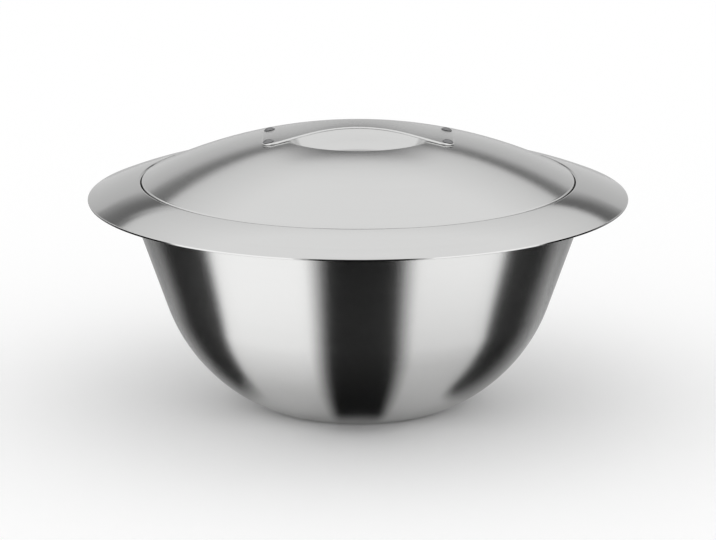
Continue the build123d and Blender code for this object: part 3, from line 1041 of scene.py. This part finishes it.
def studio_flags(stage):
    for index, flag in enumerate(SKY_FLAGS):
        mirrored_only(sky_flag(flag, stage.flag_distance - index * SKY_FLAG_GAP, stage))
    for index, flag in enumerate(TABLE_FLAGS):
        mirrored_only(table_flag(flag, cad_low.z + TABLE_FLAG_Z + index * TABLE_FLAG_LIFT))


def studio_floor(stage):
    finish = Finish("floor")
    matt = {"Roughness": FLOOR_ROUGHNESS, "Specular IOR Level": 0.0}
    material = finish.close({"Base Color": shade(stage.floor_colour, 1), **matt})
    rise = Vector((0, 0, cad_low.z))
    ways = [heading(azimuth) for azimuth in steps_between(0, FULL_CIRCLE)]
    rows = [[(way * radius + rise, (0, 0)) for way in ways] for radius in (0, stage.floor_radius)]
    stage_grid("floor", rows, material)


def studio_world(stage):
    world = bpy.data.worlds.new("studio")
    world.use_nodes = True
    world.node_tree.nodes["Background"].inputs["Color"].default_value = shade(stage.studio_colour, 1)
    world.cycles.sampling_method = "NONE"
    bpy.context.scene.world = world


def studio_camera(stage):
    camera = bpy.data.objects.new("camera", bpy.data.cameras.new("camera"))
    bpy.context.scene.collection.objects.link(camera)
    camera.data.lens = stage.camera_lens
    camera.data.sensor_fit = "HORIZONTAL"
    camera.data.sensor_width = SENSOR_WIDTH
    level = cos(stage.camera_elevation) * stage.camera_distance
    rise = stage.camera_target_z + sin(stage.camera_elevation) * stage.camera_distance
    camera.location = heading(0) * level + Vector((0, 0, rise))
    camera.rotation_euler = (QUARTER_TURN - stage.camera_elevation, 0, 0)
    bpy.context.scene.camera = camera


# Operators


class SERVINGBOWL_OT_outer_wall(bpy.types.Operator):
    """Make the bowl's outer wall, with its foot and flange"""

    bl_idname = "serving_bowl.outer_wall"
    bl_label = "Outer Wall"
    bl_options = {"REGISTER", "UNDO"}

    def execute(self, context):
        settings = context.scene.serving_bowl
        material = wall_steel("shell_steel", settings.finish)
        section = shell_section(settings.bowl, Places(settings))
        piece = turned_piece("outer_wall", section, material, closed=True)
        stand_for(piece, "bowl", "bowl_outer_shell")
        return {"FINISHED"}


class SERVINGBOWL_OT_liner(bpy.types.Operator):
    """Make the food liner with its ledge and hemmed brim"""

    bl_idname = "serving_bowl.liner"
    bl_label = "Liner and Brim"
    bl_options = {"REGISTER", "UNDO"}

    def execute(self, context):
        settings = context.scene.serving_bowl
        material = liner_steel("liner_steel", settings.finish)
        section = liner_section(settings.bowl, Places(settings))
        piece = turned_piece("liner_and_brim", section, material)
        stand_for(piece, "bowl", "bowl_inner_liner")
        return {"FINISHED"}


class SERVINGBOWL_OT_base(bpy.types.Operator):
    """Make the disc in the base"""

    bl_idname = "serving_bowl.base"
    bl_label = "Base Plate"
    bl_options = {"REGISTER", "UNDO"}

    def execute(self, context):
        settings = context.scene.serving_bowl
        material = lid_steel("disc_steel", settings.finish)
        piece = turned_piece("base_plate", base_plate_section(settings.bowl), material)
        stand_for(piece, "bowl", "base_disc")
        return {"FINISHED"}


class SERVINGBOWL_OT_dome(bpy.types.Operator):
    """Make the lid's dome with its finger well"""

    bl_idname = "serving_bowl.dome"
    bl_label = "Lid Dome"
    bl_options = {"REGISTER", "UNDO"}

    def execute(self, context):
        settings = context.scene.serving_bowl
        material = lid_steel("dome_steel", settings.finish)
        section = dome_section(settings.lid, Places(settings))
        piece = turned_piece("lid_dome", section, material)
        stand_for(piece, "lid", "lid_outer_dome")
        return {"FINISHED"}


class SERVINGBOWL_OT_pan(bpy.types.Operator):
    """Make the lid's inner pan"""

    bl_idname = "serving_bowl.pan"
    bl_label = "Lid Pan"
    bl_options = {"REGISTER", "UNDO"}

    def execute(self, context):
        settings = context.scene.serving_bowl
        material = lid_steel("pan_steel", settings.finish)
        section = pan_section(settings.bowl, settings.lid, Places(settings))
        piece = turned_piece("lid_pan", section, material)
        stand_for(piece, "lid", "lid_inner_pan")
        return {"FINISHED"}


class SERVINGBOWL_OT_seal(bpy.types.Operator):
    """Make the seal ring under the lid"""

    bl_idname = "serving_bowl.seal"
    bl_label = "Seal Ring"
    bl_options = {"REGISTER", "UNDO"}

    def execute(self, context):
        settings = context.scene.serving_bowl
        material = silicone_finish(settings.finish)
        section = seal_section(settings.bowl, settings.lid, Places(settings))
        piece = turned_piece("seal_ring", section, material, closed=True)
        stand_for(piece, "lid", "lid_seal_ring")
        return {"FINISHED"}


class SERVINGBOWL_OT_strap(bpy.types.Operator):
    """Make the strap that the lid is lifted by"""

    bl_idname = "serving_bowl.strap"
    bl_label = "Lifting Strap"
    bl_options = {"REGISTER", "UNDO"}

    def execute(self, context):
        settings = context.scene.serving_bowl
        material = strap_steel("strap_steel", settings.finish)
        piece = strap_surface(settings.handle, Places(settings)).piece("lifting_strap", material)
        stand_for(piece, "lid", "handle_strap")
        return {"FINISHED"}


class SERVINGBOWL_OT_rivets(bpy.types.Operator):
    """Make the strap's four rivets, and give their washers the same steel"""

    bl_idname = "serving_bowl.rivets"
    bl_label = "Strap Rivets"
    bl_options = {"REGISTER", "UNDO"}

    def execute(self, context):
        settings = context.scene.serving_bowl
        samples = trace(rivet_section(settings.handle, settings.lid))
        surface = Surface()
        for seat in rivet_seats(settings.handle, Places(settings)):
            surface.add_turned(samples, RIVET_SEGMENTS, seat)
        # The rivets and washers take the dark rivet colour, which is painted shade
        material = rivet_painted_shade_finish(settings.finish)
        piece = surface.piece("strap_rivets", material)
        stand_for(piece, "lid", "handle_rivets")
        coat("rivet_washers", material)
        return {"FINISHED"}


class SERVINGBOWL_OT_hidden_parts(bpy.types.Operator):
    """Give the two fills and the plug inside the walls their materials"""

    bl_idname = "serving_bowl.hidden_parts"
    bl_label = "Hidden Parts"
    bl_options = {"REGISTER", "UNDO"}

    def execute(self, context):
        settings = context.scene.serving_bowl
        foam = foam_finish(settings.finish)
        coat("bowl_insulation", foam)
        coat("lid_insulation", foam)
        coat("fill_plug", rubber_finish(settings.finish))
        return {"FINISHED"}


class SERVINGBOWL_OT_stage(bpy.types.Operator):
    """Set up the floor, the studio light and the camera"""

    bl_idname = "serving_bowl.stage"
    bl_label = "Stage"
    bl_options = {"REGISTER", "UNDO"}

    def execute(self, context):
        stage = context.scene.serving_bowl.stage
        studio_floor(stage)
        studio_world(stage)
        studio_flags(stage)
        studio_camera(stage)
        context.scene.view_settings.view_transform = "Standard"
        return {"FINISHED"}


OPERATORS = [
    SERVINGBOWL_OT_outer_wall,
    SERVINGBOWL_OT_liner,
    SERVINGBOWL_OT_base,
    SERVINGBOWL_OT_dome,
    SERVINGBOWL_OT_pan,
    SERVINGBOWL_OT_seal,
    SERVINGBOWL_OT_strap,
    SERVINGBOWL_OT_rivets,
    SERVINGBOWL_OT_hidden_parts,
    SERVINGBOWL_OT_stage,
]


class SERVINGBOWL_PT_sidebar(bpy.types.Panel):
    """Operators and settings of the serving bowl"""

    bl_idname = "SERVINGBOWL_PT_sidebar"
    bl_label = "Serving Bowl"
    bl_space_type = "VIEW_3D"
    bl_region_type = "UI"
    bl_category = "Serving Bowl"

    def draw(self, context):
        settings = context.scene.serving_bowl
        for operator in OPERATORS:
            self.layout.operator(operator.bl_idname)
        for group in (settings.bowl, settings.lid, settings.handle, settings.finish, settings.stage):
            box = self.layout.box()
            for name in group.__annotations__:
                box.prop(group, name)


GROUPS = [BowlSizes, LidSizes, HandleSizes, Finishes, StageSettings, ServingBowl]
CLASSES = GROUPS + OPERATORS + [SERVINGBOWL_PT_sidebar]


def register():
    for cls in CLASSES:
        bpy.utils.register_class(cls)
    bpy.types.Scene.serving_bowl = PointerProperty(type=ServingBowl)


def unregister():
    del bpy.types.Scene.serving_bowl
    for cls in reversed(CLASSES):
        bpy.utils.unregister_class(cls)


def main():
    register()
    for operator in OPERATORS:
        group, name = operator.bl_idname.split(".")
        getattr(getattr(bpy.ops, group), name)()


if __name__ == "__main__":
    main()
